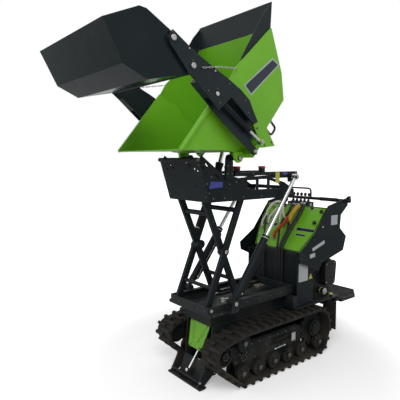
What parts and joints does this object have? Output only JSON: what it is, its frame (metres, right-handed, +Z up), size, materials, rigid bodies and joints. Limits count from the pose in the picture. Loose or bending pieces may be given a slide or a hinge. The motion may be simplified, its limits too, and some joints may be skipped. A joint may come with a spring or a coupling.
{
  "type": "site_dumper",
  "caption": "Tracked high-tip site dumper with scissor lift raised, green skip tipped forward, self-loading shovel, rear console with platform",
  "frame": {"origin": "on the ground under the middle of the machine's bounding box, on its middle plane", "axes": "+X the way the machine drives and tips, +Y its left side, +Z up"},
  "size_m": [2.9058, 1.0408, 2.8972],
  "materials": {
    "chassis": "satin",
    "front_cover": "gloss",
    "scissor_base": "satin",
    "track_left": "matte",
    "track_right": "matte",
    "sprockets": "satin",
    "rollers": "satin",
    "track_frames": "satin",
    "engine": "satin",
    "console_body": "satin",
    "cowl": "gloss",
    "console_core": "satin",
    "side_panels": "satin",
    "handlebar": "satin",
    "filter_box": "satin",
    "levers": "satin",
    "console_hoses": "matte",
    "white_hoses": "smooth",
    "hose_sleeves": "woven",
    "mud_flaps": "matte",
    "scissor_legs_a": "satin",
    "scissor_ties_a": "satin",
    "scissor_legs_b": "satin",
    "scissor_ties_b": "satin",
    "upper_frame": "satin",
    "front_plate": "satin",
    "bumpers": "matte",
    "lift_barrels": "satin",
    "lift_rods": "polished",
    "skip": "gloss",
    "skip_rails": "gloss",
    "spill_guard": "satin",
    "skip_hoses": "matte",
    "tip_barrel": "satin",
    "tip_rod": "polished",
    "shovel_arms": "satin",
    "shovel": "satin",
    "chains": "zinc plated",
    "shovel_barrels": "satin",
    "shovel_rods": "polished",
    "stabiliser_foot": "satin",
    "stabiliser_barrel": "satin",
    "stabiliser_rod": "polished",
    "platform": "satin"
  },
  "bodies": {
    "chassis": {"chassis": "chassis", "front_cover": "front_cover", "scissor_base": "scissor_base", "track_left": "track_left", "track_right": "track_right", "sprockets": "sprockets", "rollers": "rollers", "track_frames": "track_frames", "engine": "engine", "console_body": "console_body", "cowl": "cowl", "console_core": "console_core", "side_panels": "side_panels", "handlebar": "handlebar", "filter_box": "filter_box", "levers": "levers", "console_hoses": "console_hoses", "white_hoses": "white_hoses", "hose_sleeves": "hose_sleeves", "mud_flaps": "mud_flaps"},
    "scissor_a": {"scissor_legs_a": "scissor_legs_a", "scissor_ties_a": "scissor_ties_a"},
    "scissor_b": {"scissor_legs_b": "scissor_legs_b", "scissor_ties_b": "scissor_ties_b"},
    "upper_frame": {"upper_frame": "upper_frame", "front_plate": "front_plate", "bumpers": "bumpers"},
    "lift_barrels": {"lift_barrels": "lift_barrels"},
    "lift_rods": {"lift_rods": "lift_rods"},
    "skip": {"skip": "skip", "skip_rails": "skip_rails", "spill_guard": "spill_guard", "skip_hoses": "skip_hoses"},
    "tip_barrel": {"tip_barrel": "tip_barrel"},
    "tip_rod": {"tip_rod": "tip_rod"},
    "shovel_arms": {"shovel_arms": "shovel_arms", "shovel": "shovel", "chains": "chains"},
    "shovel_barrels": {"shovel_barrels": "shovel_barrels"},
    "shovel_rods": {"shovel_rods": "shovel_rods"},
    "stabiliser": {"stabiliser_foot": "stabiliser_foot"},
    "stabiliser_barrel": {"stabiliser_barrel": "stabiliser_barrel"},
    "stabiliser_rod": {"stabiliser_rod": "stabiliser_rod"},
    "platform": {"platform": "platform"}
  },
  "joints": [
    {"name": "lift", "type": "hinge", "parent": "chassis", "child": "scissor_a", "pos_m": [0.48, 0, 0.612], "axis": [0, -1, 0], "range_deg": [0, 60.5]},
    {"name": "scissor_cross", "type": "hinge", "parent": "scissor_a", "child": "scissor_b", "pos_m": [0.3025, 0, 1.0345], "axis": [0, -1, 0], "range_deg": [-121.5, 0]},
    {"name": "upper_level", "type": "hinge", "parent": "scissor_b", "child": "upper_frame", "pos_m": [0.48, 0, 1.457], "axis": [0, -1, 0], "range_deg": [0, 61]},
    {"name": "lift_barrel_swing", "type": "hinge", "parent": "chassis", "child": "lift_barrels", "pos_m": [0.3, 0, 0.65], "axis": [0, -1, 0], "range_deg": [-0.3, 36.79]},
    {"name": "lift_rod_slide", "type": "slide", "parent": "lift_barrels", "child": "lift_rods", "axis": [-0.5984, 0, 0.8012], "range_m": [-0.44766, 0.002]},
    {"name": "tip", "type": "hinge", "parent": "upper_frame", "child": "skip", "pos_m": [0.31, 0, 1.757], "axis": [0, -1, 0], "range_deg": [0, 50]},
    {"name": "tip_barrel_swing", "type": "hinge", "parent": "upper_frame", "child": "tip_barrel", "pos_m": [0.255, 0, 1.515], "axis": [0, -1, 0], "range_deg": [-0.3, 24.21]},
    {"name": "tip_rod_slide", "type": "slide", "parent": "tip_barrel", "child": "tip_rod", "axis": [-0.2939, 0, 0.9558], "range_m": [-0.14567, 0.002]},
    {"name": "shovel_arms", "type": "hinge", "parent": "skip", "child": "shovel_arms", "pos_m": [0.24479, 0, 1.80671], "axis": [0, -1, 0], "range_deg": [0, 35]},
    {"name": "shovel_barrel_swing", "type": "hinge", "parent": "shovel_arms", "child": "shovel_barrels", "pos_m": [0.6584, 0, 2.16944], "axis": [0, -1, 0], "range_deg": [-0.3, 2.48]},
    {"name": "shovel_rod_slide", "type": "slide", "parent": "shovel_barrels", "child": "shovel_rods", "axis": [-0.8312, 0, -0.556], "range_m": [-0.04081, 0.002]},
    {"name": "stabiliser", "type": "hinge", "parent": "chassis", "child": "stabiliser", "pos_m": [0.395, 0, 0.09], "axis": [0, -1, 0], "range_deg": [0, 50]},
    {"name": "stabiliser_barrel_swing", "type": "hinge", "parent": "chassis", "child": "stabiliser_barrel", "pos_m": [0.322, 0, 0.332], "axis": [0, -1, 0], "range_deg": [-0.3, 9.18]},
    {"name": "stabiliser_rod_slide", "type": "slide", "parent": "stabiliser_barrel", "child": "stabiliser_rod", "axis": [0.6084, 0, -0.7937], "range_m": [-0.09888, 0.002]},
    {"name": "platform", "type": "hinge", "parent": "chassis", "child": "platform", "pos_m": [-1.06, 0, 0.4], "axis": [0, 1, 0], "range_deg": [0, 80]}
  ],
  "couplings": [
    {"joint": "scissor_cross", "follows": "lift", "ratio": -2},
    {"joint": "upper_level", "follows": "lift", "ratio": 1},
    {"joint": "lift_barrel_swing", "follows": "lift", "ratio": 0.60307},
    {"joint": "lift_rod_slide", "follows": "lift", "m_per_rad": -0.42206},
    {"joint": "tip_barrel_swing", "follows": "tip", "ratio": 0.47829},
    {"joint": "tip_rod_slide", "follows": "tip", "m_per_rad": -0.16464},
    {"joint": "shovel_barrel_swing", "follows": "shovel_arms", "ratio": 0.062184},
    {"joint": "shovel_rod_slide", "follows": "shovel_arms", "m_per_rad": -0.063534},
    {"joint": "stabiliser_barrel_swing", "follows": "stabiliser", "ratio": 0.17751},
    {"joint": "stabiliser_rod_slide", "follows": "stabiliser", "m_per_rad": -0.11102}
  ]
}
